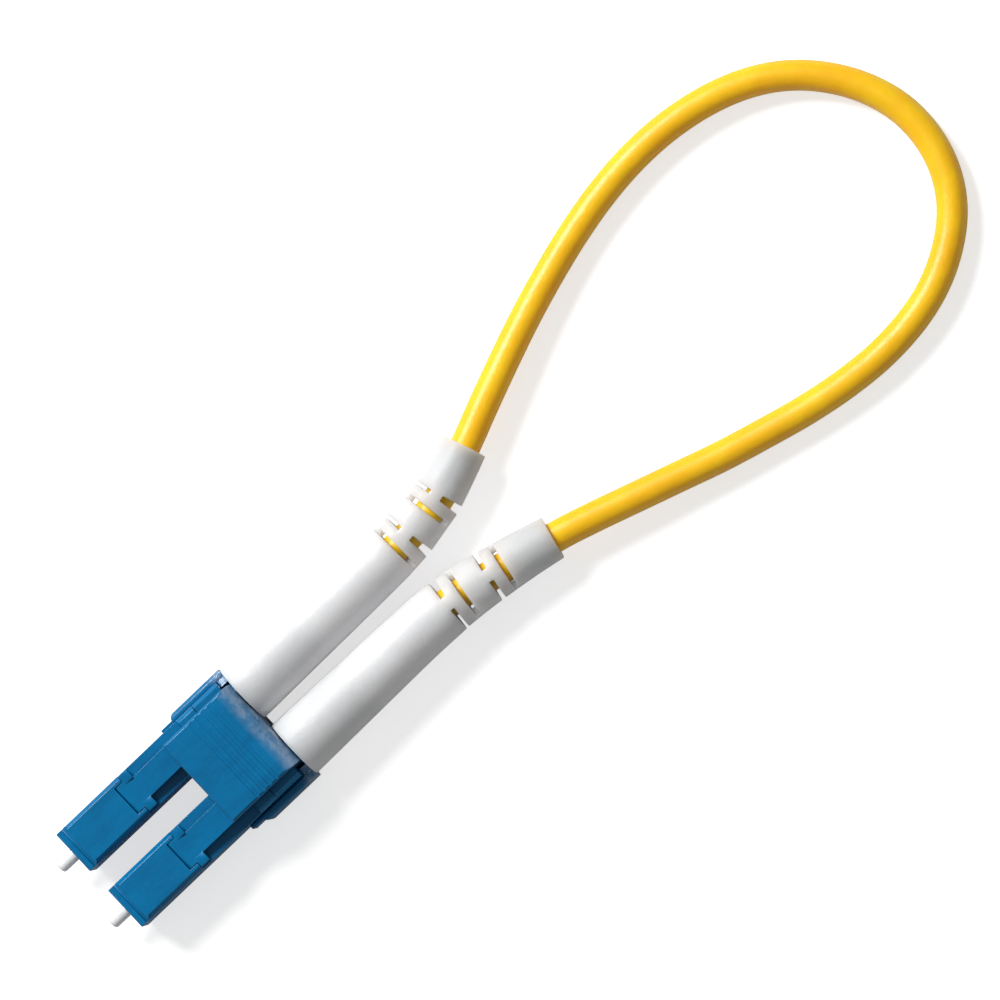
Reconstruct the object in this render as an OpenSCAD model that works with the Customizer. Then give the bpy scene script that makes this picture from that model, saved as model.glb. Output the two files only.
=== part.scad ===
// Fibre loopback plug: two square push-in fibre plugs held side by side in a duplex clip, with one
// length of cord that leaves the right plug's boot and comes back into the left one's.
// The origin is the centre of the clip's flat underside. +X points the way the plug is pushed in,
// +Z points up to the latches and +Y is the left side. Sizes are in millimetres.

/* [Plug] */
// Distance between the axes of the two plugs
pitch = 6.6; // [6.3:0.05:7.4]
// Width and height of the square nose
nose_w = 4.3; // [4.2:0.05:4.5]
// Length of the plugs in front of the clip
prong_l = 12.6; // [12:0.1:14]
// Length of the housing that is held inside the clip
housing_grip = 3.6; // [3.4:0.1:3.9]
// Chamfer along the top edges of the nose
top_chamfer = 0.35; // [0.2:0.05:0.6]
// Chamfer along the bottom edges of the nose
bottom_chamfer = 0.25; // [0.1:0.05:0.5]
// Length of the low rim at the front of the nose
rim_l = 0.6; // [0.4:0.05:1]
// Drop of the low rim below the raised flat
rim_drop = 0.3; // [0.15:0.05:0.5]
// Width of the groove behind the rim
rim_groove = 0.4; // [0.3:0.05:0.5]
// Radius of the hole in the nose that takes an adapter's sleeve
nose_bore_r = 1.18; // [1.17:0.01:1.22]
// Depth of that hole, down to the flange's seat
nose_bore_l = 3; // [2.8:0.1:3.2]
// Radius of the cavity that holds the flange and the spring
cavity_r = 1.35; // [1.32:0.01:1.4]
// Wall between the cavity and the recess under the latch
recess_wall = 0.2; // [0.15:0.05:0.25]

/* [Latch] */
// Distance from the front of the nose to the latch's hinge
latch_root = 6.8; // [6.4:0.1:7.2]
// Thickness of the latch arm
latch_t = 0.55; // [0.4:0.05:0.6]
// Width of the arm
latch_w = 2.3; // [1.8:0.1:2.6]
// Width of the arm's root
root_w = 2.9; // [2.6:0.1:3.2]
// Distance from the hinge to the front of the shoulders
shoulder_at = 0.6; // [0.5:0.05:0.9]
// Length of the catch shoulders
shoulder_l = 1; // [0.8:0.1:1.3]
// Width over both shoulders
shoulder_w = 3.9; // [3.6:0.1:4.1]
// Height of the shoulders above the arm
shoulder_h = 0.15; // [0.1:0.05:0.4]
// Rise of the arm from its hinge to its tip
latch_rise = 0.7; // [0.6:0.05:0.8]
// Length of the arm that lies under the trigger
latch_lap = 1.6; // [1.2:0.1:1.8]

/* [Ferrule and spring] */
// Diameter of the ceramic ferrule
ferrule_d = 1.25; // [1.25:0.05:1.3]
// Length of the ferrule in front of the nose
ferrule_out = 2; // [1.6:0.1:2.4]
// Diameter of the ferrule's stem, which is pressed into the flange
stem_d = 0.92; // [0.91:0.01:0.94]
// Length of that stem
stem_l = 1.45; // [1:0.05:1.7]
// Backward travel of the ferrule
ferrule_travel = 1; // [0.6:0.1:1.2]
// Length of the flange's hexagonal head
flange_head_l = 2; // [1.9:0.1:2.4]
// Radius of the flange's tail tube
tail_r = 0.7; // [0.65:0.01:0.75]
// Length of the flange's tail tube
tail_l = 7; // [6.6:0.1:7.6]
// Diameter of the spring's wire
wire_d = 0.28; // [0.2:0.02:0.32]
// Number of turns of the spring
spring_turns = 6; // [4:1:8]
// Length of the fitted spring
spring_l = 6; // [5.6:0.1:6.4]
// Diameter of the buffered fibre
buffer_d = 0.9; // [0.8:0.05:0.95]

/* [Rear body and crimp] */
// Radius of the rear body's cable post
post_r = 1.45; // [1.3:0.05:1.5]
// Length of the cable post behind the clip
post_l = 4.7; // [4:0.1:5]
// Wall of the crimp sleeve
sleeve_t = 0.3; // [0.2:0.05:0.35]
// Length of the sleeve's rear end, which grips the cord's jacket
sleeve_grip = 2.3; // [1.5:0.1:2.6]

/* [Clip] */
// Length of the clip
clip_l = 7.3; // [7:0.1:8.4]
// Thickness of the clip's floor
clip_floor = 0.7; // [0.7:0.05:1]
// Thickness of the side wings
wing_t = 0.8; // [0.6:0.05:1]
// Length of the side wings
wing_l = 6; // [5:0.1:6.2]
// Height of the wings above the plugs' axes
wing_h = 0.3; // [0:0.05:0.8]
// Radius of the rounded outer edge along the top of the wings
wing_round_r = 0.45; // [0.2:0.05:0.5]
// Radius of the wings' front corners
wing_corner_r = 0.6; // [0.3:0.05:0.6]
// Thickness of the low side walls in front of the wings
tab_t = 0.35; // [0.25:0.05:0.5]
// Length of the post between the plugs, in front of the trigger's bend
post_reach = 3.5; // [2:0.1:4]
// Reach of the post's lip over each plug
lip_w = 0.75; // [0.4:0.05:0.9]
// Thickness of the lip
lip_t = 0.25; // [0.2:0.05:0.3]

/* [Trigger] */
// Width of the trigger plate
trigger_w = 9; // [8:0.1:10]
// Thickness of the trigger plate
trigger_t = 0.8; // [0.6:0.05:0.9]
// Height of the plate's underside above the plugs' axes
trigger_z = 2.95; // [2.95:0.05:3.2]
// Length by which the plate reaches past the front of the clip
trigger_overhang = 0.4; // [0.2:0.1:0.6]
// Outer radius of the bend at the back of the trigger
bend_r = 1.7; // [1.4:0.05:1.8]
// Number of grip grooves across the plate
groove_count = 4; // [3:1:5]
// Distance between the grip grooves
groove_pitch = 0.75; // [0.6:0.05:0.8]
// Distance from the rear of the clip to the last grip groove
groove_at = 2.35; // [2:0.05:2.5]
// Width of each grip groove
groove_w = 0.3; // [0.2:0.02:0.4]
// Depth of each grip groove
groove_depth = 0.1; // [0.08:0.01:0.2]

/* [Boot] */
// Length of the boots
boot_l = 29; // [28:0.5:34]
// Diameter of the boots where they meet the clip
boot_d = 5.7; // [5.2:0.1:5.8]
// Diameter of the boots in front of the slots
boot_mid_d = 5.2; // [4.8:0.1:5.4]
// Diameter of the boots' tips
boot_tip_d = 4; // [3.9:0.1:4.6]
// Distance from the front of the boot to its first row of slots
slot_start = 18.4; // [17:0.1:19]
// Distance between the two rows of a pair
slot_gap = 1.47; // [1.3:0.01:1.7]
// Distance from one pair of rows to the next
slot_pair = 4.2; // [3.8:0.1:4.6]
// Width of the slots
slot_w = 0.45; // [0.35:0.05:0.55]
// Angle of each web that is left between two slots
web_angle = 30; // [30:1:60]
// Downward lean of the boots, which lie on the surface behind the clip
boot_lean = 1.2; // [0.8:0.1:1.2]
// Outward bend of the right boot at its first row of side slots
bend_right_1 = 7.5; // [0:0.5:11]
// Outward bend of the right boot at its second row of side slots
bend_right_2 = 12; // [0:0.5:12]
// Outward bend of the left boot at its first row of side slots
bend_left_1 = 11; // [0:0.5:11]
// Outward bend of the left boot at its second row of side slots
bend_left_2 = 1.5; // [0:0.5:12]

/* [Cord] */
// Diameter of the cord's jacket
cord_d = 2.7; // [2.4:0.1:2.7]

/* [Clearances] */
// Gap between moulded pieces that seat in or on each other
fit = 0.05; // [0.03:0.01:0.06]
// Gap between the boot's bore and what it slides over
boot_fit = 0.1; // [0.1:0.01:0.15]
// Gap between the boot's bore and the cord
cord_fit = 0.15; // [0.15:0.01:0.2]

/* [Hidden] */
$fn = 64;
LEFT = 1;
RIGHT = -1;
// How far a cut runs past the face that it opens
over = 0.1;
// Size of the small bevels on moulded edges
bevel = 0.15;
// Gap round a piece that passes freely through another
free_gap = 0.15;
plug_blue = [0, 0.4, 0.6];
boot_white = [0.96, 0.95, 0.96];
cord_yellow = [0.99, 0.78, 0.06];
ceramic_white = [0.93, 0.93, 0.92];
metal_grey = [0.72, 0.73, 0.74];

// Length by which the recess reaches past the latch, and the wall behind it
recess_extra = 0.45;
socket_wall = 0.3;
// Step in radius from the spring's cavity to the socket for the rear body
socket_step = 0.4;
// Snap ears of the rear body: distance from the housing's rear end, length and height
snap_at = 0.4;
snap_l = 0.9;
snap_h = 1.3;
// The crimp sleeve: distances to the clip and from the post to its step, and its gap on the jacket
sleeve_gap = 0.3;
sleeve_slack = 0.4;
sleeve_grip_gap = 0.02;

// Heights and half widths
nose_h = nose_w / 2;
axis_z = nose_h + fit + clip_floor;
floor_z = cavity_r + recess_wall;
hinge_z = floor_z + fit + latch_t / 2;
// Stations along the plug, as distances behind the front of the nose
nose_x = clip_l / 2 + prong_l;
flat_at = rim_l + rim_groove;
recess_at = latch_root + shoulder_at - fit;
latch_l = prong_l - trigger_overhang + latch_lap - latch_root;
recess_end = latch_root + latch_l + recess_extra;
socket_at = recess_end + socket_wall;
housing_l = prong_l + housing_grip;
flange_at = nose_bore_l + fit;
flange_end = flange_at + flange_head_l;
spring_at = flange_end + fit;
spring_seat = spring_at + spring_l + fit;
wall_at = prong_l + clip_l - trigger_t;
block_end = wall_at - fit;
post_end = prong_l + clip_l + post_l;
// Radii of the nested round pieces
socket_r = cavity_r + socket_step;
flange_r = cavity_r - fit;
tail_bore_r = buffer_d / 2 + fit;
post_bore_r = tail_r + free_gap;
spring_r = (tail_r + cavity_r) / 2;
wall_bore_r = post_r + free_gap;
sleeve_r = post_r + fit + sleeve_t;
jacket_r = cord_d / 2;
sleeve_bore_r = jacket_r + sleeve_grip_gap;
boot_front_r = sleeve_r + boot_fit;
boot_bore_r = jacket_r + cord_fit;
// The crimp sleeve, as distances behind the front of the nose
sleeve_at = prong_l + clip_l + sleeve_gap;
sleeve_step = post_end + sleeve_slack;
sleeve_end = sleeve_step + sleeve_grip;
// The trigger
trigger_top = axis_z + trigger_z + trigger_t;
bend_x = bend_r - clip_l / 2;
hinge_foot_z = trigger_top - bend_r;
// Half widths of the clip
bay = nose_h + fit;
bay_side = pitch / 2 + bay;
web_half = pitch / 2 - bay;
// The boot: its front face, the point that it leans about, and the end of its wide bore
boot_x = -clip_l / 2 - boot_fit;
boot_pivot = 3.8;
boot_step = sleeve_end - prong_l - clip_l + 2 * boot_fit;

// The cord's route, from the right plug's crimp round the loop to the left plug's crimp
ROUTE = [
    [-8.9, -3.3, 2.9], [-11.2, -3.3, 2.85], [-16, -3.3, 2.75], [-23.6, -3.3, 2.6], [-27.8, -3.85, 2.5],
    [-32.4, -5.5, 2.4], [-36, -7, 2.25], [-40, -8.6, 2.05], [-44, -10.1, 1.8], [-48, -11.4, 1.6],
    [-52, -12.5, 1.45], [-56, -13.3, 1.4], [-60, -13.7, 1.4], [-64, -13.6, 1.4], [-68, -12.9, 1.4],
    [-71.6, -11.6, 1.4], [-74.6, -9.7, 1.4], [-77, -7.2, 1.4], [-78.8, -4.2, 1.4], [-79.8, -0.9, 1.4],
    [-79.8, 2.5, 1.4], [-78.9, 5.7, 1.4], [-77.1, 8.5, 1.4], [-74.5, 10.7, 1.4], [-71.4, 12.3, 1.4],
    [-68, 13.2, 1.4], [-64, 13.5, 1.4], [-60, 13.2, 1.4], [-56, 12.5, 1.4], [-52, 11.5, 1.45],
    [-48, 10.4, 1.6], [-44, 9.1, 1.8], [-40, 7.8, 2.05], [-36, 6.5, 2.25], [-32.5, 5.5, 2.4],
    [-26.3, 4.1, 2.5], [-22.1, 3.3, 2.6], [-16, 3.3, 2.75], [-11.2, 3.3, 2.85], [-8.9, 3.3, 2.9]];

// ---- Shared shapes ----

// A square section with chamfered corners, centred on the plug's axis
function square_section(width, top, bottom) =
    let (h = width / 2)
    [[bottom - h, -h], [h - bottom, -h], [h, bottom - h], [h, h - top],
     [h - top, h], [top - h, h], [-h, h - top], [-h, bottom - h]];

// A profile in Y and Z, drawn out along X from x0 to x1
module along_x(x0, x1) {
    translate([x0, 0, 0])
        rotate([90, 0, 90])
            linear_extrude(x1 - x0)
                children();
}

// A profile in X and Z, drawn out across Y and centred on it
module along_y(width) {
    rotate([90, 0, 0])
        linear_extrude(width, center = true)
            children();
}

// A round bar along X from x0 to x1
module bar(x0, x1, r) {
    translate([x0, 0, 0])
        rotate([0, 90, 0])
            cylinder(h = x1 - x0, r = r);
}

// A turned shape along X, from points of radius and x
module turned(points) {
    rotate([0, 90, 0])
        rotate_extrude()
            polygon(points);
}

// Puts a piece on a plug's axis, with x measured from the front of its nose
module on_plug(side) {
    translate([nose_x, side * pitch / 2, axis_z])
        children();
}

// Closed skin over a list of rings with the same number of points
function ring_faces(rings, sides) = concat(
    [[for (k = [0:sides - 1]) k]],
    [for (i = [0:rings - 2], k = [0:sides - 1])
        let (a = i * sides + k, b = i * sides + (k + 1) % sides)
        [b, a, a + sides, b + sides]],
    [[for (k = [sides - 1:-1:0]) (rings - 1) * sides + k]]);

// ---- Plug ----

// Side outline of the housing: low rim, groove, raised flat, and the recess under the latch
housing_side = [
    [-bevel, -nose_h], [0, bevel - nose_h], [0, nose_h - rim_drop - bevel], [-bevel, nose_h - rim_drop],
    [-rim_l, nose_h - rim_drop], [-rim_l, nose_h - 1.5 * rim_drop], [bevel - flat_at, nose_h - 1.5 * rim_drop],
    [bevel - flat_at, nose_h - bevel], [-flat_at, nose_h], [-recess_at, nose_h], [-recess_at, floor_z],
    [-recess_end, floor_z], [-recess_end - bevel, nose_h], [-housing_l, nose_h], [-housing_l, -nose_h]];

module housing(side) {
    color(plug_blue)
        on_plug(side)
            difference() {
                intersection() {
                    along_y(nose_w + over)
                        polygon(housing_side);
                    union() {
                        along_x(-housing_l, -flat_at)
                            polygon(square_section(nose_w, top_chamfer, bottom_chamfer));
                        along_x(-flat_at - over, 0)
                            polygon(square_section(nose_w, bevel, bottom_chamfer));
                    }
                }
                bar(-nose_bore_l - over, over, nose_bore_r);
                bar(-socket_at - over, -nose_bore_l, cavity_r);
                bar(-housing_l - over, -socket_at, socket_r);
                latch_pocket();
                snap_window();
            }
}

// Pocket in the nose that the latch's root lies in
module latch_pocket() {
    length = recess_at + over - latch_root + latch_t / 2 + fit;
    translate([-recess_at - over, -root_w / 2 - fit, floor_z])
        cube([length, root_w + 2 * fit, nose_h]);
}

// Windows in both sides of the housing that the rear body's ears snap into
module snap_window() {
    translate([-housing_l + snap_at, -nose_w, -snap_h / 2])
        cube([snap_l, 2 * nose_w, snap_h]);
}

// The latch lies on its hinge axis, and its arm rises to the rear
latch_side = [
    [0, -latch_t / 2], [-latch_l, latch_rise - latch_t / 2], [-latch_l - over, latch_rise],
    [-latch_l, latch_rise + latch_t / 2], [0, latch_t / 2]];
arm_slope = latch_rise / latch_l;
shoulder_side = [
    [-shoulder_at, arm_slope * shoulder_at - latch_t / 2],
    [-shoulder_at - shoulder_l, arm_slope * (shoulder_at + shoulder_l) - latch_t / 2],
    [-shoulder_at - shoulder_l, arm_slope * (shoulder_at + shoulder_l) + latch_t / 2 + shoulder_h],
    [-shoulder_at - shoulder_l + bevel, arm_slope * (shoulder_at + shoulder_l) + latch_t / 2 + shoulder_h],
    [-shoulder_at, arm_slope * shoulder_at + latch_t / 2]];
root_side = [
    [0, -latch_t / 2], [-shoulder_at, arm_slope * shoulder_at - latch_t / 2],
    [-shoulder_at, arm_slope * shoulder_at + latch_t / 2], [0, latch_t / 2]];

module latch(side) {
    color(plug_blue)
        on_plug(side)
            translate([-latch_root, 0, hinge_z]) {
                along_y(latch_w)
                    polygon(latch_side);
                for (end = [-1, 1])
                    translate([0, end * (shoulder_w + latch_w) / 4, 0])
                        along_y((shoulder_w - latch_w) / 2 + over)
                            polygon(shoulder_side);
                along_y(root_w)
                    polygon(root_side);
                rotate([90, 0, 0])
                    cylinder(h = root_w, r = latch_t / 2, center = true);
            }
}

module ferrule(side) {
    r = ferrule_d / 2;
    lead = 0.12;
    tail = -flange_at - stem_l;
    color(ceramic_white)
        on_plug(side)
            turned([[0, tail], [stem_d / 2, tail], [stem_d / 2, -flange_at], [r, -flange_at],
                [r, ferrule_out - 2 * lead], [r - lead, ferrule_out], [0, ferrule_out]]);
}

// Hexagonal head with a coned front, and a tail tube that the buffered fibre runs through
module flange(side) {
    color(metal_grey)
        on_plug(side)
            difference() {
                union() {
                    intersection() {
                        translate([-flange_end, 0, 0])
                            rotate([0, 90, 0])
                                cylinder(h = flange_head_l, r = flange_r, $fn = 6);
                        turned([[0, -flange_end], [flange_r, -flange_end], [flange_r, -flange_at - bevel],
                            [flange_r - bevel, -flange_at], [0, -flange_at]]);
                    }
                    bar(-flange_end - tail_l, -flange_end + over, tail_r);
                }
                bar(-flange_at - stem_l, over - flange_at, stem_d / 2);
                bar(-flange_end - tail_l - over, over - flange_at - stem_l, tail_bore_r);
            }
}

// Centre line of the spring, with its first and last turns closed up
end_pitch = 1.3 * wire_d;
function spring_step(t) = t < 1 ? t * end_pitch
    : t > spring_turns - 1 ? spring_l - wire_d - (spring_turns - t) * end_pitch
    : end_pitch + (spring_l - wire_d - 2 * end_pitch) * (t - 1) / (spring_turns - 2);

module spring(side) {
    sides = 5;
    per_turn = 14;
    rings = per_turn * spring_turns + 1;
    points = [for (i = [0:rings - 1], k = [0:sides - 1])
        let (t = i / per_turn, r = spring_r + wire_d / 2 * cos(360 * k / sides))
        [-spring_at - wire_d / 2 - spring_step(t) + wire_d / 2 * sin(360 * k / sides),
            r * cos(360 * t), r * sin(360 * t)]];
    color(metal_grey)
        on_plug(side)
            polyhedron(points, ring_faces(rings, sides));
}

// Spring stop, snap ears, square block inside the clip, and the ringed post for the crimp
module rear_body(side) {
    ring_l = post_l / 7;
    ring_depth = 0.1;
    color(plug_blue)
        on_plug(side)
            difference() {
                union() {
                    bar(-socket_at - over, -spring_seat, cavity_r - fit);
                    bar(-housing_l - over, -socket_at - fit, socket_r - fit);
                    along_x(-block_end, -housing_l - fit)
                        polygon(square_section(nose_w, top_chamfer, bottom_chamfer));
                    bar(-post_end, over - block_end, post_r - ring_depth);
                    for (i = [0:3])
                        bar(-post_end + 2 * i * ring_l, -post_end + (2 * i + 1) * ring_l, post_r);
                    translate([-housing_l + snap_at + fit, fit - nose_h, fit - snap_h / 2])
                        cube([snap_l - 2 * fit, nose_w - 2 * fit, snap_h - 2 * fit]);
                }
                bar(-post_end - over, over - spring_seat, post_bore_r);
            }
}

module crimp(side) {
    color(metal_grey)
        on_plug(side)
            turned([
                [post_r + fit, -sleeve_at], [sleeve_r, -sleeve_at], [sleeve_r, -sleeve_step],
                [sleeve_bore_r + sleeve_t, -sleeve_step - sleeve_t], [sleeve_bore_r + sleeve_t, -sleeve_end],
                [sleeve_bore_r, -sleeve_end], [sleeve_bore_r, -sleeve_step], [post_r + fit, -sleeve_step]]);
}

module buffer(side) {
    color(cord_yellow)
        on_plug(side)
            bar(fit - nose_x + ROUTE[0][0], -flange_at - stem_l - ferrule_travel - 1, buffer_d / 2);
}

// ---- Boot ----

function slot_row(i) = slot_start + floor(i / 2) * slot_pair + (i % 2) * slot_gap;
function boot_r(s) = s < slot_start - 1
    ? boot_d / 2 + (boot_mid_d - boot_d) / 2 * s / (slot_start - 1)
    : boot_mid_d / 2 + (boot_tip_d - boot_mid_d) / 2 * (s - slot_start + 1) / (boot_l - slot_start + 1);

// Solid outer form of the boot between two stations along its axis
module boot_form(s0, s1) {
    knee = slot_start - 1;
    stations = s0 < knee && knee < s1 ? [s0, knee, s1] : [s0, s1];
    rotate_extrude()
        polygon(concat([[0, s0]], [for (s = stations) [boot_r(s), s]], [[0, s1]]));
}

// Two half-round slots, opposite each other, with a web left between their ends
module slot_pair_cut(s, turn) {
    for (half = [0, 180])
        rotate([0, 0, turn + half + web_angle / 2])
            translate([0, 0, s - slot_w / 2])
                rotate_extrude(angle = 180 - web_angle)
                    translate([boot_bore_r - over, 0])
                        square([boot_d, slot_w]);
}

// The two webs that carry the boot across a row of side slots
module slot_webs(s) {
    root = 0.3;
    for (half = [0, 180])
        rotate([0, 0, half - web_angle / 2])
            translate([0, 0, s - slot_w / 2 - root])
                rotate_extrude(angle = web_angle)
                    translate([boot_bore_r, 0])
                        square([boot_r(s) - boot_bore_r - fit, slot_w + 2 * root]);
}

// One stiff length of the boot, with its bore and the upright slots that fall in it
module boot_length(s0, s1, cut) {
    difference() {
        boot_form(s0, s1);
        translate([0, 0, s0 - over])
            cylinder(h = s1 - s0 + 2 * over, r = boot_bore_r);
        translate([0, 0, -over])
            cylinder(h = boot_step + over, r = boot_front_r);
        slot_pair_cut(cut, -90);
    }
}

// Turns what follows about the upright axis through station s of the boot
module bent(s, angle) {
    translate([0, 0, s])
        rotate([angle, 0, 0])
            translate([0, 0, -s])
                children();
}

module boot(side) {
    first = side == RIGHT ? 1 : 0;
    s1 = slot_row(first);
    s2 = slot_row(first + 2);
    cuts = [for (i = [1 - first, 3 - first]) slot_row(i)];
    angle_1 = -side * (side == RIGHT ? bend_right_1 : bend_left_1);
    angle_2 = -side * (side == RIGHT ? bend_right_2 : bend_left_2);
    gap = slot_w / 2;
    color(boot_white)
        translate([boot_x, side * pitch / 2, axis_z])
            rotate([0, -90, 0])
                translate([0, 0, boot_pivot])
                    rotate([0, -boot_lean, 0])
                        translate([0, 0, -boot_pivot]) {
                            boot_length(0, s1 - gap, cuts[0]);
                            slot_webs(s1);
                            bent(s1, angle_1) {
                                boot_length(s1 + gap, s2 - gap, side == RIGHT ? cuts[1] : cuts[0]);
                                slot_webs(s2);
                                bent(s2, angle_2)
                                    boot_length(s2 + gap, boot_l, cuts[1]);
                            }
                        }
}

// ---- Clip ----

// Plan outline of one side wing, with a rounded front corner
module wing_plan() {
    inner = bay_side;
    outer = bay_side + wing_t;
    rear = -clip_l / 2;
    front = rear + wing_l;
    translate([rear, inner])
        square([wing_l - wing_corner_r, wing_t]);
    translate([rear, inner])
        square([wing_l, wing_t - wing_corner_r]);
    translate([front - wing_corner_r, outer - wing_corner_r])
        circle(r = wing_corner_r);
}

// One side of the clip: the wing, and the low wall in front of it
module clip_side() {
    top = axis_z + wing_h;
    outer = bay_side + wing_t;
    round_y = outer - wing_round_r;
    round_z = top - wing_round_r;
    intersection() {
        linear_extrude(top)
            wing_plan();
        along_x(-clip_l, clip_l)
            polygon(concat(
                [[bay_side, 0], [outer - bevel, 0], [outer, bevel]],
                [for (a = [0:15:90]) [round_y + wing_round_r * cos(a), round_z + wing_round_r * sin(a)]],
                [[bay_side + bevel, top], [bay_side, top - bevel]]));
    }
    translate([-clip_l / 2, bay_side, 0])
        cube([clip_l, tab_t, axis_z]);
}

// Outline of the rear wall: wing height at the sides, and a bridge under the trigger's foot
module rear_wall_outline() {
    half = bay_side + tab_t;
    top = hinge_foot_z - trigger_t / 2 - fit;
    polygon([[-half, 0], [half, 0], [half, axis_z], [trigger_w / 2, axis_z + 1], [trigger_w / 2, top],
        [-trigger_w / 2, top], [-trigger_w / 2, axis_z + 1], [-half, axis_z]]);
}

// Wall between the plugs, and a post on it with a lip that holds them down
module clip_web() {
    top = axis_z + nose_h + fit;
    translate([-clip_l / 2, -web_half, 0])
        cube([clip_l - tab_t, 2 * web_half, axis_z]);
    translate([bend_x, -web_half, 0])
        cube([post_reach, 2 * web_half, top + lip_t]);
    translate([bend_x, -web_half - lip_w, top])
        cube([post_reach, 2 * (web_half + lip_w), lip_t]);
}

// Slot that opens upwards, through which a rear body's post drops into the rear wall
module wall_slot() {
    along_x(-wall_at - trigger_t - over, over - wall_at)
        union() {
            circle(wall_bore_r);
            translate([-wall_bore_r, 0])
                square([2 * wall_bore_r, wall_bore_r + over]);
        }
}

module clip_frame() {
    color(plug_blue)
        difference() {
            union() {
                translate([-clip_l / 2, -bay_side - tab_t, 0])
                    cube([clip_l, 2 * (bay_side + tab_t), clip_floor]);
                for (mirrored = [0, 1])
                    mirror([0, mirrored, 0])
                        clip_side();
                clip_web();
                along_x(-clip_l / 2, trigger_t - clip_l / 2)
                    rear_wall_outline();
            }
            for (side = [LEFT, RIGHT])
                on_plug(side)
                    wall_slot();
        }
}

// Ribbed plate that bends down at the back to its living hinge
module clip_trigger() {
    front = clip_l / 2 + trigger_overhang;
    edge = 0.2;
    color(plug_blue)
        difference() {
            intersection() {
                union() {
                    along_y(trigger_w)
                        polygon([[bend_x, trigger_top - trigger_t], [front - bevel, trigger_top - trigger_t],
                            [front, trigger_top - trigger_t + bevel], [front, trigger_top - edge],
                            [front - edge, trigger_top], [bend_x, trigger_top]]);
                    trigger_bend();
                    translate([(trigger_t - clip_l) / 2, 0, hinge_foot_z])
                        rotate([90, 0, 0])
                            cylinder(h = trigger_w, r = trigger_t / 2, center = true);
                }
                along_x(-clip_l, clip_l)
                    polygon([[-trigger_w / 2, 0], [trigger_w / 2, 0], [trigger_w / 2, trigger_top - edge],
                        [trigger_w / 2 - edge, trigger_top], [edge - trigger_w / 2, trigger_top],
                        [-trigger_w / 2, trigger_top - edge]]);
            }
            for (i = [0:groove_count - 1])
                translate([groove_at + i * groove_pitch - clip_l / 2, 0, trigger_top])
                    cube([groove_w, 2 * trigger_w, 2 * groove_depth], center = true);
        }
}

// Quarter bend at the back of the trigger
module trigger_bend() {
    translate([bend_x, 0, hinge_foot_z])
        intersection() {
            difference() {
                rotate([90, 0, 0])
                    cylinder(h = trigger_w, r = bend_r, center = true);
                rotate([90, 0, 0])
                    cylinder(h = trigger_w + 1, r = bend_r - trigger_t, center = true);
            }
            translate([-2 * bend_r, -trigger_w, 0])
                cube([2 * bend_r + over / 2, 2 * trigger_w, 2 * bend_r]);
        }
}

// ---- Cord ----

function unit(v) = v / norm(v);
function tangent(i) = unit(ROUTE[min(i + 1, len(ROUTE) - 1)] - ROUTE[max(i - 1, 0)]);

module cord() {
    sides = 8;
    rings = len(ROUTE);
    points = [for (i = [0:rings - 1], k = [0:sides - 1])
        let (across = unit(cross(tangent(i), [0, 0, 1])), up = cross(across, tangent(i)))
        ROUTE[i] + jacket_r * (cos(360 * k / sides) * across + sin(360 * k / sides) * up)];
    color(cord_yellow)
        polyhedron(points, ring_faces(rings, sides));
}

housing(LEFT);  // housing_left
housing(RIGHT);  // housing_right
latch(LEFT);  // latch_left
latch(RIGHT);  // latch_right
ferrule(LEFT);  // ferrule_left
ferrule(RIGHT);  // ferrule_right
flange(LEFT);  // flange_left
flange(RIGHT);  // flange_right
spring(LEFT);  // spring_left
spring(RIGHT);  // spring_right
rear_body(LEFT);  // rear_body_left
rear_body(RIGHT);  // rear_body_right
crimp(LEFT);  // crimp_left
crimp(RIGHT);  // crimp_right
buffer(LEFT);  // buffer_left
buffer(RIGHT);  // buffer_right
boot(LEFT);  // boot_left
boot(RIGHT);  // boot_right
clip_frame();
clip_trigger();
cord();
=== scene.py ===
import bpy
import bmesh
import math
from mathutils import Matrix, Vector


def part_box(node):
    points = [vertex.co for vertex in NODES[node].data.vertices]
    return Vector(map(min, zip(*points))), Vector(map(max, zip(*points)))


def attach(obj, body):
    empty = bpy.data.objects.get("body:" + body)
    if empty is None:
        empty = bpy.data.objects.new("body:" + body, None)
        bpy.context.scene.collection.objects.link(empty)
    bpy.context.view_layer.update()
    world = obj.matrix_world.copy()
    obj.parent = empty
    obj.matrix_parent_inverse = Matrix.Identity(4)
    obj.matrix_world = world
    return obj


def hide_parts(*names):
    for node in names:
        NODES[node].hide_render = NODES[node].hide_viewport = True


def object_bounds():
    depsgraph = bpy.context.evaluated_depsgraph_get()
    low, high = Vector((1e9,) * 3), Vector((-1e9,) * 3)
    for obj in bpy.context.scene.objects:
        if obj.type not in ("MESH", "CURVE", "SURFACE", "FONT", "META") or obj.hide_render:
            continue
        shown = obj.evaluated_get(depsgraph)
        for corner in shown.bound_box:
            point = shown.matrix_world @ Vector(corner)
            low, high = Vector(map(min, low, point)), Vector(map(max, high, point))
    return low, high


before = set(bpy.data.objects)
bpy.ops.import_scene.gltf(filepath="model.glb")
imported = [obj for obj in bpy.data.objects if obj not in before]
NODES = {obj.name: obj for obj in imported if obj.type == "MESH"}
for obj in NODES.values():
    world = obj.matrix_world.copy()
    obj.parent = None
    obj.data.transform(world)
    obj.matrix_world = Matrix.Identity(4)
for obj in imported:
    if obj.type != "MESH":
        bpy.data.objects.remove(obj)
CAD_BOX = [list(corner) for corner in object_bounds()]
MM = 0.001
scene = bpy.context.scene
scene.view_settings.view_transform = "Standard"

# ---- Camera: the photograph's viewing angle, from above and a little from the +Y side ----

low, high = (Vector(corner) for corner in CAD_BOX)
centre = (low + high) / 2
centre.z = 0.002


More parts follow.
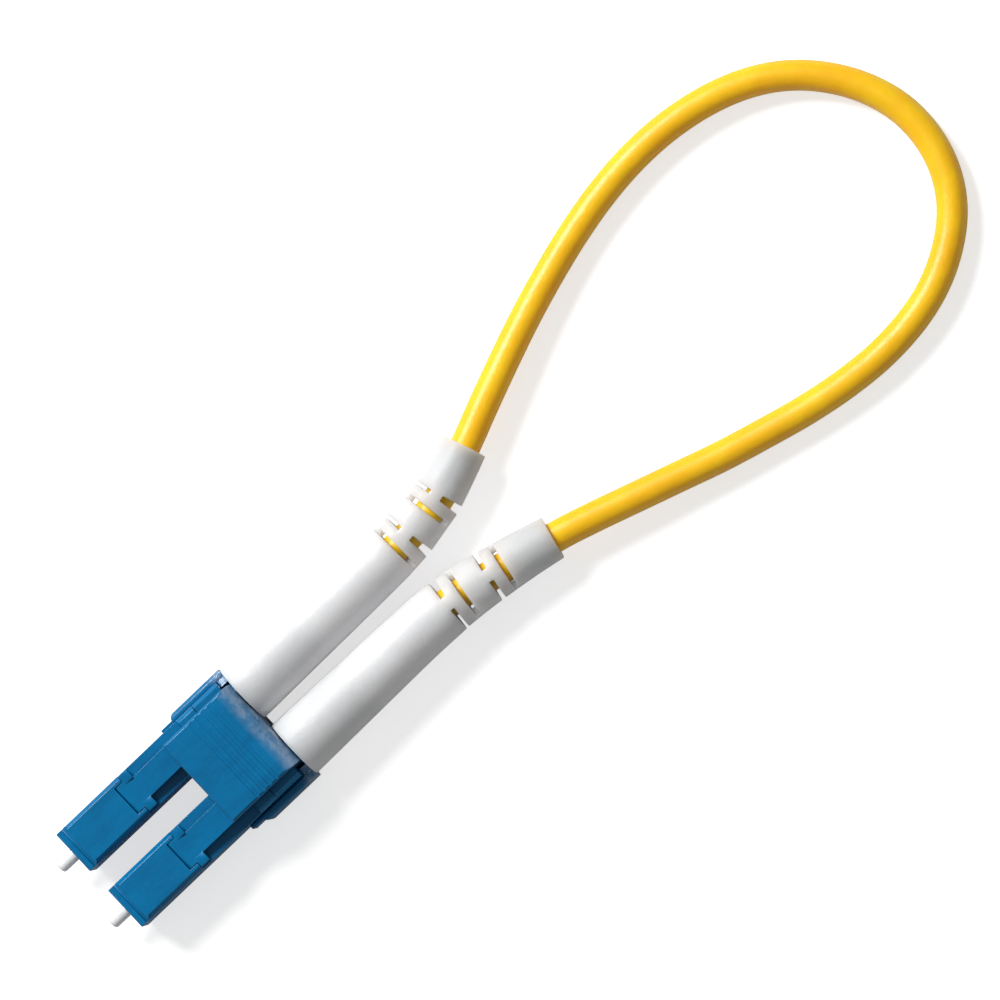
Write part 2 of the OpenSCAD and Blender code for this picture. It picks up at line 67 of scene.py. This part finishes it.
def aim(obj, place, target, up):
    forward = (target - place).normalized()
    right = forward.cross(up).normalized()
    true_up = right.cross(forward)
    obj.matrix_world = Matrix.Translation(place) @ Matrix((right, true_up, -forward)).transposed().to_4x4()


cam_data = bpy.data.cameras.new("camera")
cam_data.sensor_width = 36
cam_data.lens = 188
cam_data.clip_start = 0.01
camera = bpy.data.objects.new("camera", cam_data)
scene.collection.objects.link(camera)
aim(camera, centre + Vector((-0.016, 0.036, 0.450)), centre, Vector((-0.688, -0.725, 0)))
scene.camera = camera

# ---- Node helpers ----


class Shader:
    """A Principled material, and short calls for the nodes that feed it. Positions are in millimetres."""

    def __init__(self, name):
        self.material = bpy.data.materials.new(name)
        self.material.use_nodes = True
        self.tree = self.material.node_tree
        self.bsdf = self.tree.nodes["Principled BSDF"]
        coordinates = self.add("ShaderNodeTexCoord")
        scaled = self.add("ShaderNodeVectorMath", operation="SCALE")
        self.link(coordinates.outputs["Object"], scaled.inputs[0])
        scaled.inputs["Scale"].default_value = 1000
        self.place = scaled.outputs[0]

    def add(self, kind, **settings):
        node = self.tree.nodes.new(kind)
        for key, value in settings.items():
            setattr(node, key, value)
        return node

    def link(self, source, target):
        self.tree.links.new(source, target)

    def put(self, value, target):
        if isinstance(value, bpy.types.NodeSocket):
            self.link(value, target)
        else:
            target.default_value = value

    def noise(self, scale, detail=3, roughness=0.5, stretch=(1, 1, 1), place=None):
        source = place or self.place
        if stretch != (1, 1, 1):
            multiply = self.add("ShaderNodeVectorMath", operation="MULTIPLY")
            self.link(source, multiply.inputs[0])
            multiply.inputs[1].default_value = stretch
            source = multiply.outputs[0]
        node = self.add("ShaderNodeTexNoise")
        self.link(source, node.inputs["Vector"])
        node.inputs["Scale"].default_value = scale
        node.inputs["Detail"].default_value = detail
        node.inputs["Roughness"].default_value = roughness
        return node.outputs[0]

    def ramp(self, factor, *stops):
        node = self.add("ShaderNodeValToRGB")
        self.link(factor, node.inputs[0])
        elements = node.color_ramp.elements
        while len(elements) < len(stops):
            elements.new(0.5)
        for element, (position, colour) in zip(elements, stops):
            element.position = position
            element.color = (*colour, 1) if isinstance(colour, tuple) else (colour, colour, colour, 1)
        return node.outputs[0]

    def span(self, value, low, high, out_low=0.0, out_high=1.0):
        node = self.add("ShaderNodeMapRange")
        self.link(value, node.inputs[0])
        for index, number in enumerate((low, high, out_low, out_high)):
            node.inputs[index + 1].default_value = number
        return node.outputs[0]

    def math(self, operation, a, b=0.0):
        node = self.add("ShaderNodeMath", operation=operation)
        self.put(a, node.inputs[0])
        self.put(b, node.inputs[1])
        return node.outputs[0]

    def mix(self, factor, a, b):
        node = self.add("ShaderNodeMix", data_type="RGBA")
        self.put(factor, node.inputs[0])
        self.put(a if isinstance(a, bpy.types.NodeSocket) else (*a, 1), node.inputs[6])
        self.put(b if isinstance(b, bpy.types.NodeSocket) else (*b, 1), node.inputs[7])
        return node.outputs[2]

    def axes(self):
        node = self.add("ShaderNodeSeparateXYZ")
        self.link(self.place, node.inputs[0])
        return node.outputs

    def bump(self, height, distance, below=None):
        node = self.add("ShaderNodeBump")
        self.link(height, node.inputs["Height"])
        node.inputs["Distance"].default_value = distance * MM
        if below is not None:
            self.link(below, node.inputs["Normal"])
        return node.outputs[0]

    def finish(self, colour, roughness, normal=None, **constants):
        self.put(colour, self.bsdf.inputs["Base Color"])
        self.put(roughness, self.bsdf.inputs["Roughness"])
        if normal is not None:
            self.link(normal, self.bsdf.inputs["Normal"])
        for key, value in constants.items():
            self.bsdf.inputs[key.replace("_", " ")].default_value = value
        return self.material


# ---- Materials ----


def moulded_blue(name, grain=1.0):
    s = Shader(name)
    flow = s.noise(0.45, 4, 0.6, (0.5, 1.4, 1.4))
    speck = s.noise(9, 2, 0.6)
    tone = s.math("ADD", s.math("MULTIPLY", flow, 0.8), s.math("MULTIPLY", speck, 0.2))
    colour = s.ramp(tone, (0.3, (0.0, 0.112, 0.262)), (0.5, (0.0, 0.136, 0.318)), (0.72, (0.0, 0.158, 0.362)))
    roughness = s.span(s.noise(2.4, 4, 0.65), 0.3, 0.7, 0.20, 0.32)
    normal = s.bump(s.noise(7.5, 3, 0.6), 0.006 * grain, s.bump(s.noise(0.9, 2), 0.015 * grain))
    return s, colour, roughness, normal


def plug_blue():
    s, colour, roughness, normal = moulded_blue("plug_blue")
    return s.finish(colour, roughness, normal, Specular_IOR_Level=0.3)


def clip_blue():
    s, colour, roughness, normal = moulded_blue("clip_blue")
    x, y, z = s.axes()
    # Towards the rear bend (x from -2.1 to -3.0 mm) the blue is mixed to a pale grey-blue in ragged patches. The
    # patches are partly scuff marks and partly a painted reflection of the curved bend.
    patch = s.noise(0.9, 4, 0.62, (1.6, 1, 1))
    near_bend = s.span(x, -2.1, -3.0)
    scuff_and_sheen = s.span(s.math("ADD", patch, s.math("MULTIPLY", near_bend, 0.10)), 0.50, 0.66)
    scuff_and_sheen = s.math("MULTIPLY", scuff_and_sheen, near_bend)
    # An even pale shift that grows towards the rear is a painted sheen: a painted reflection of the curved bend,
    # added on top of the patches.
    painted_sheen = s.math("MULTIPLY", near_bend, 0.22)
    scuff_and_sheen = s.math("ADD", s.math("MULTIPLY", scuff_and_sheen, 0.35), painted_sheen)
    pale = s.mix(scuff_and_sheen, colour, (0.30, 0.38, 0.50))
    wavy = s.math("MULTIPLY", near_bend, s.noise(1.5, 3, 0.6))
    return s.finish(pale, s.math("SUBTRACT", roughness, s.math("MULTIPLY", near_bend, 0.14)),
                    s.bump(wavy, 0.12, normal), Specular_IOR_Level=0.3)


def boot_rubber():
    s = Shader("boot_rubber")
    cloud = s.noise(0.35, 4, 0.6)
    speck = s.noise(5.5, 3, 0.7)
    tone = s.math("ADD", s.math("MULTIPLY", cloud, 0.6), s.math("MULTIPLY", speck, 0.4))
    colour = s.ramp(tone, (0.32, (0.77, 0.755, 0.77)), (0.55, (0.83, 0.815, 0.83)), (0.75, (0.86, 0.85, 0.86)))
    roughness = s.span(s.noise(3.2, 4, 0.7), 0.3, 0.7, 0.42, 0.6)
    normal = s.bump(s.noise(6.5, 3, 0.65), 0.014, s.bump(s.noise(1.1, 3), 0.05))
    return s.finish(colour, roughness, normal, Subsurface_Weight=1.0,
                    Subsurface_Radius=(0.0044, 0.0041, 0.0041), Subsurface_Scale=1.0)


def cord_jacket():
    s = Shader("cord_jacket")
    cloud = s.noise(0.22, 4, 0.55)
    colour = s.ramp(cloud, (0.3, (0.930, 0.500, 0.003)), (0.5, (0.970, 0.555, 0.004)), (0.7, (0.980, 0.600, 0.006)))
    roughness = s.span(s.noise(2.8, 3, 0.6), 0.3, 0.7, 0.34, 0.5)
    normal = s.bump(s.noise(8, 2, 0.6), 0.008, s.bump(s.noise(0.7, 3), 0.05))
    return s.finish(colour, roughness, normal, Subsurface_Weight=0.4,
                    Subsurface_Radius=(0.0018, 0.0007, 0.0001), Subsurface_Scale=1.0)


def ceramic():
    s = Shader("ferrule_ceramic")
    cloud = s.noise(1.4, 3, 0.5)
    colour = s.ramp(cloud, (0.3, (0.83, 0.83, 0.835)), (0.7, (0.90, 0.90, 0.905)))
    rings = s.noise(1.0, 3, 0.6, (24, 1, 1))
    roughness = s.span(rings, 0.3, 0.7, 0.10, 0.20)
    return s.finish(colour, roughness, s.bump(rings, 0.0025), Subsurface_Weight=0.15,
                    Subsurface_Radius=(0.0006, 0.0006, 0.0006), Subsurface_Scale=1.0)


def metal(name, dark, light, stretch, low_rough, high_rough):
    s = Shader(name)
    lines = s.noise(1.0, 4, 0.65, stretch)
    colour = s.ramp(lines, (0.3, dark), (0.7, light))
    roughness = s.span(s.noise(3, 3, 0.6), 0.3, 0.7, low_rough, high_rough)
    return s.finish(colour, roughness, s.bump(lines, 0.006), Metallic=1.0)


PLUG = plug_blue()
CLIP = clip_blue()
BOOT = boot_rubber()
JACKET = cord_jacket()
CERAMIC = ceramic()
PLATED = metal("plated_metal", (0.52, 0.53, 0.54), (0.68, 0.69, 0.70), (9, 1, 1), 0.22, 0.38)
STEEL = metal("spring_steel", (0.40, 0.40, 0.41), (0.58, 0.58, 0.58), (2, 6, 6), 0.25, 0.42)
BRUSHED = metal("crimp_metal", (0.50, 0.50, 0.49), (0.66, 0.66, 0.65), (1, 12, 12), 0.28, 0.45)


def piece(name, mesh, material, body, slot, *replaced):
    obj = bpy.data.objects.new(name, mesh)
    scene.collection.objects.link(obj)
    mesh.materials.clear()
    mesh.materials.append(material)
    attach(obj, body)
    if replaced:
        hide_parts(*replaced)
    return obj


# ---- Cord: the loop, from the right plug round to the left ----

ROUTE = [
    (-8.9, -3.3, 2.9), (-11.2, -3.3, 2.85), (-16, -3.3, 2.75), (-23.6, -3.3, 2.6), (-27.8, -3.85, 2.5),
    (-32.4, -5.5, 2.4), (-36, -7, 2.25), (-40, -8.6, 2.05), (-44, -10.1, 1.8), (-48, -11.4, 1.6),
    (-52, -12.5, 1.45), (-56, -13.3, 1.4), (-60, -13.7, 1.4), (-64, -13.6, 1.4), (-68, -12.9, 1.4),
    (-71.6, -11.6, 1.4), (-74.6, -9.7, 1.4), (-77, -7.2, 1.4), (-78.8, -4.2, 1.4), (-79.8, -0.9, 1.4),
    (-79.8, 2.5, 1.4), (-78.9, 5.7, 1.4), (-77.1, 8.5, 1.4), (-74.5, 10.7, 1.4), (-71.4, 12.3, 1.4),
    (-68, 13.2, 1.4), (-64, 13.5, 1.4), (-60, 13.2, 1.4), (-56, 12.5, 1.4), (-52, 11.5, 1.45),
    (-48, 10.4, 1.6), (-44, 9.1, 1.8), (-40, 7.8, 2.05), (-36, 6.5, 2.25), (-32.5, 5.5, 2.4),
    (-26.3, 4.1, 2.5), (-22.1, 3.3, 2.6), (-16, 3.3, 2.75), (-11.2, 3.3, 2.85), (-8.9, 3.3, 2.9)]
CORD_D = 2.7


def smooth_route(points, steps):
    """Catmull-Rom curve through the points."""
    ends = [points[0] * 2 - points[1]] + points + [points[-1] * 2 - points[-2]]
    out = []
    for p0, p1, p2, p3 in zip(ends, ends[1:], ends[2:], ends[3:]):
        for step in range(steps):
            t = step / steps
            out.append(0.5 * (2 * p1 + (p2 - p0) * t + (2 * p0 - 5 * p1 + 4 * p2 - p3) * t * t
                              + (3 * p1 - p0 - 3 * p2 + p3) * t ** 3))
    return out + [points[-1]]


def cord():
    path = smooth_route([Vector(point) * MM for point in ROUTE], 5)
    data = bpy.data.curves.new("loop_cord", "CURVE")
    data.dimensions = "3D"
    data.bevel_depth = CORD_D / 2 * MM
    data.bevel_resolution = 6
    data.use_fill_caps = True
    spline = data.splines.new("POLY")
    spline.points.add(len(path) - 1)
    for point, place in zip(spline.points, path):
        point.co = (*place, 1)
    spline.use_smooth = True
    obj = bpy.data.objects.new("loop_cord", data)
    scene.collection.objects.link(obj)
    data.materials.append(JACKET)
    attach(obj, "frame")
    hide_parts("cord")
    length = sum((b - a).length for a, b in zip(path, path[1:]))
    tuple(path[0])


cord()

# ---- Boots: soft tubes with staggered slots, as a grid of rings with the slots left open ----

BOOT_L = 29
SLOT_START = 18.4
SLOT_GAP = 1.47
SLOT_PAIR = 4.2
SLOT_W = 0.45
WEB = 30
BORE_R = 1.5
FRONT_R = 1.9
BORE_STEP = 7.6
PIVOT = 3.8
LEAN = 1.2


def slot_row(i):
    return SLOT_START + (i // 2) * SLOT_PAIR + (i % 2) * SLOT_GAP


def boot_radius(s):
    knee = SLOT_START - 1
    if s < knee:
        radius = 2.85 - 0.25 * s / knee
    else:
        radius = 2.6 - 0.6 * (s - knee) / (BOOT_L - knee)
    return radius


def boot_line(side, ramps, row_bends):
    """Frames along the boot's centre line, which bends smoothly over the ramps and sharply at the side slots."""
    lean = (Matrix.Translation(Vector((-3.75, side * 3.3, 2.9))) @ Matrix.Rotation(math.radians(-90), 4, "Y")
            @ Matrix.Translation((0, 0, PIVOT)) @ Matrix.Rotation(math.radians(-LEAN), 4, "Y")
            @ Matrix.Translation((0, 0, -PIVOT)))
    step = 0.05

    def heading(s):
        total = 0
        for start, end, angle in ramps:
            t = min(max((s - start) / (end - start), 0), 1)
            total += angle * t * t * (3 - 2 * t)
        return total + sum(angle for row, angle in row_bends if s > row)

    def frame_at(s):
        place = Vector((0, 0, 0))
        for k in range(round(s / step)):
            angle = math.radians(heading((k + 0.5) * step))
            place += Vector((0, side * math.sin(angle), math.cos(angle))) * step
        turn = Matrix.Rotation(math.radians(-side * heading(s)), 4, "X")
        return lean @ Matrix.Translation(place) @ turn

    return frame_at


def boot(side, name, ramps, bends):
    rows = [slot_row(i) for i in range(4)]
    side_rows = rows[(1 if side < 0 else 0)::2]
    top_rows = [row for row in rows if row not in side_rows]
    half = SLOT_W / 2
    webs = [quarter + edge for quarter in (0, 90, 180, 270) for edge in (-WEB / 2, WEB / 2)]
    angles = sorted({angle % 360 for angle in list(range(0, 360, 6)) + webs})
    marks = [0.0] + [float(k) for k in range(1, 18)]
    for row in rows:
        marks += [row - half, row + half]
    marks += [BOOT_L - 1.5, BOOT_L - 0.7, BOOT_L]
    rings = []
    for a, b in zip(marks, marks[1:]):
        count = 1 if b - a < SLOT_W + 0.01 else max(int((b - a) / 0.5), 1)
        rings += [a + (b - a) * k / count for k in range(count)]
    rings.append(BOOT_L)
    frame_at = boot_line(side, ramps, list(zip(side_rows, bends)))
    frames = [frame_at(s) for s in rings]
    count = len(angles)
    last = len(rings) - 1

    def solid(i, k):
        middle = (rings[i] + rings[i + 1]) / 2
        for row in rows:
            if abs(middle - row) < half:
                following = angles[(k + 1) % count] + (360 if k == count - 1 else 0)
                turned = ((angles[k] + following) / 2 + (90 if row in top_rows else 0)) % 180
                return turned < WEB / 2 or turned > 180 - WEB / 2
        return True

    mesh = bmesh.new()
    grid = {}

    def vertex(i, k, outer):
        key = (i, k % count, outer)
        if key not in grid:
            s = rings[i]
            bore = FRONT_R if s <= BORE_STEP else BORE_R
            radius = boot_radius(s) if outer else bore
            angle = math.radians(angles[k % count])
            local = Vector((radius * math.cos(angle), radius * math.sin(angle), 0))
            grid[key] = mesh.verts.new(frames[i] @ local * MM)
        return grid[key]

    def face(*corners):
        mesh.faces.new([vertex(*corner) for corner in corners])

    for i in range(last):
        for k in range(count):
            if not solid(i, k):
                continue
            face((i, k, 1), (i, k + 1, 1), (i + 1, k + 1, 1), (i + 1, k, 1))
            face((i + 1, k, 0), (i + 1, k + 1, 0), (i, k + 1, 0), (i, k, 0))
            if i == 0 or not solid(i - 1, k):
                face((i, k + 1, 1), (i, k, 1), (i, k, 0), (i, k + 1, 0))
            if i == last - 1 or not solid(i + 1, k):
                face((i + 1, k, 1), (i + 1, k + 1, 1), (i + 1, k + 1, 0), (i + 1, k, 0))
            if not solid(i, (k - 1) % count):
                face((i, k, 1), (i + 1, k, 1), (i + 1, k, 0), (i, k, 0))
            if not solid(i, (k + 1) % count):
                face((i + 1, k + 1, 1), (i, k + 1, 1), (i, k + 1, 0), (i + 1, k + 1, 0))
    bmesh.ops.recalc_face_normals(mesh, faces=mesh.faces)
    data = bpy.data.meshes.new(name)
    mesh.to_mesh(data)
    mesh.free()
    data.shade_smooth()
    obj = piece(name, data, BOOT, "frame", "boot_rubber", "boot_right" if side < 0 else "boot_left")
    bevel = obj.modifiers.new("rounded_edges", "BEVEL")
    bevel.width = 0.09 * MM
    bevel.segments = 2
    bevel.limit_method = "ANGLE"
    bevel.angle_limit = math.radians(45)
    obj.modifiers.new("even_normals", "WEIGHTED_NORMAL").keep_sharp = False
    return obj


boot(-1, "right_boot", [(13, 19, 1.5), (20.5, 24, 1), (25, 29, 2)], (6.5, 8.5))
boot(1, "left_boot", [(12, 18.2, 3), (18.5, 22.4, 3), (23, 28.5, 3.2)], (3.8, 0.8))

# ---- Moulded pieces: the solids' own shapes with their edges rounded ----


EDGE = 0.05


def rounded(node, name, material, body, slot, width, angle=28):
    mesh = bmesh.new()
    mesh.from_mesh(NODES[node].data)
    bmesh.ops.remove_doubles(mesh, verts=mesh.verts, dist=0.002 * MM)
    bmesh.ops.dissolve_limit(mesh, angle_limit=math.radians(0.7), verts=mesh.verts, edges=mesh.edges)
    sharp = [e for e in mesh.edges if len(e.link_faces) == 2 and e.calc_face_angle(0) > math.radians(angle)]
    bmesh.ops.bevel(mesh, geom=sharp, offset=width * MM, offset_type="OFFSET", segments=2, profile=0.5,
                    affect="EDGES", clamp_overlap=False)
    data = bpy.data.meshes.new(name)
    mesh.to_mesh(data)
    mesh.free()
    data.shade_smooth()
    obj = piece(name, data, material, body, slot, node)
    obj.modifiers.new("even_normals", "WEIGHTED_NORMAL").keep_sharp = False
    return obj


for side in ("left", "right"):
    rounded("housing_" + side, side + "_housing", PLUG, "frame", "plug_plastic", EDGE)
    rounded("latch_" + side, side + "_latch", PLUG, "latch_" + side, "plug_plastic", EDGE)
rounded("clip_frame", "duplex_clip", CLIP, "frame", "clip_plastic", EDGE)
rounded("clip_trigger", "ribbed_trigger", CLIP, "trigger", "clip_plastic", EDGE, 20)


FERRULE_R = 0.625
STEM_R = 0.46
STEM_L = 1.45
DOME_L = 0.34


def ferrule(side, name):
    """Polished ceramic pin with a domed end, turned round its axis."""
    low, high = (Vector(corner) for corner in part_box("ferrule_" + side))
    axis_y, axis_z = (low.y + high.y) / 2, (low.z + high.z) / 2
    tip = high.x
    tail = low.x
    radius = FERRULE_R * MM
    stem = STEM_R * MM
    shoulder = tail + STEM_L * MM
    outline = [(tail, 0), (tail, stem - 0.05 * MM), (tail + 0.05 * MM, stem), (shoulder, stem),
               (shoulder, radius - 0.04 * MM), (shoulder + 0.04 * MM, radius), (tip - DOME_L * MM, radius)]
    for step in range(1, 5):
        angle = math.radians(20 * step)
        outline.append((tip - DOME_L * MM + 0.22 * MM * math.sin(angle) * 1.1,
                        radius - 0.20 * MM * (1 - math.cos(angle))))
    outline += [(tip - 0.05 * MM, 0.40 * MM), (tip - 0.012 * MM, 0.2 * MM), (tip, 0.0625 * MM), (tip, 0)]
    mesh = bmesh.new()
    sides = 48
    rings = []
    for x, r in outline:
        if r == 0:
            rings.append([mesh.verts.new((x, axis_y, axis_z))])
        else:
            rings.append([mesh.verts.new((x, axis_y + r * math.cos(math.tau * k / sides),
                                          axis_z + r * math.sin(math.tau * k / sides))) for k in range(sides)])
    for a, b in zip(rings, rings[1:]):
        for k in range(sides):
            n = (k + 1) % sides
            corners = [a[k % len(a)], a[n % len(a)], b[n % len(b)], b[k % len(b)]]
            mesh.faces.new(list(dict.fromkeys(corners)))
    bmesh.ops.recalc_face_normals(mesh, faces=mesh.faces)
    data = bpy.data.meshes.new(name)
    mesh.to_mesh(data)
    mesh.free()
    data.shade_smooth()
    obj = piece(name, data, CERAMIC, "ferrule_" + side, "ferrule_ceramic", "ferrule_" + side)
    obj.modifiers.new("even_normals", "WEIGHTED_NORMAL").keep_sharp = False


ferrule("left", "left_ferrule")
ferrule("right", "right_ferrule")

# ---- Hidden pieces keep their CAD shapes ----


def dress(node, material):
    obj = NODES[node]
    if not obj.material_slots:
        obj.data.materials.append(material)
    for entry in obj.material_slots:
        entry.material = material


for side in ("left", "right"):
    dress("flange_" + side, PLATED)
    dress("spring_" + side, STEEL)
    dress("crimp_" + side, BRUSHED)
    dress("rear_body_" + side, PLUG)
    dress("buffer_" + side, JACKET)

# ---- Floor, world and lamps ----

FLOOR_GREY = 0.72
FLOOR_GLOW = 0.65
AMBIENT = 0.22
KEY_SIZE = 0.30
KEY_POWER = 6.4


def white_floor():
    mesh = bmesh.new()
    bmesh.ops.create_grid(mesh, x_segments=1, y_segments=1, size=1.5)
    data = bpy.data.meshes.new("floor")
    mesh.to_mesh(data)
    mesh.free()
    floor = bpy.data.objects.new("floor", data)
    scene.collection.objects.link(floor)
    material = bpy.data.materials.new("floor")
    material.use_nodes = True
    tree = material.node_tree
    bsdf = tree.nodes["Principled BSDF"]
    bsdf.inputs["Roughness"].default_value = 0.9
    bsdf.inputs["Specular IOR Level"].default_value = 0
    bsdf.inputs["Base Color"].default_value = (FLOOR_GREY, FLOOR_GREY, FLOOR_GREY, 1)
    bsdf.inputs["Emission Color"].default_value = (1, 1, 1, 1)
    rays = tree.nodes.new("ShaderNodeLightPath")
    glow = tree.nodes.new("ShaderNodeMath")
    glow.operation = "MULTIPLY"
    glow.inputs[1].default_value = FLOOR_GLOW
    tree.links.new(rays.outputs["Is Camera Ray"], glow.inputs[0])
    tree.links.new(glow.outputs[0], bsdf.inputs["Emission Strength"])
    data.materials.append(material)


white_floor()


def white_world(ambient):
    world = bpy.data.worlds.new("studio")
    world.use_nodes = True
    scene.world = world
    tree = world.node_tree
    background = tree.nodes["Background"]
    background.inputs["Color"].default_value = (1, 1, 1, 1)
    rays = tree.nodes.new("ShaderNodeLightPath")
    strength = tree.nodes.new("ShaderNodeMapRange")
    tree.links.new(rays.outputs["Is Camera Ray"], strength.inputs[0])
    strength.inputs[3].default_value = ambient
    strength.inputs[4].default_value = 1.0
    tree.links.new(strength.outputs[0], background.inputs["Strength"])


white_world(AMBIENT)


def lamp(name, place, size, power):
    data = bpy.data.lights.new(name, "AREA")
    data.shape = "DISK"
    data.size = size
    data.energy = power
    obj = bpy.data.objects.new(name, data)
    scene.collection.objects.link(obj)
    aim(obj, centre + Vector(place), centre, Vector((1, 0, 0)))


lamp("key", (0.06, -0.52, 0.47), KEY_SIZE, KEY_POWER)
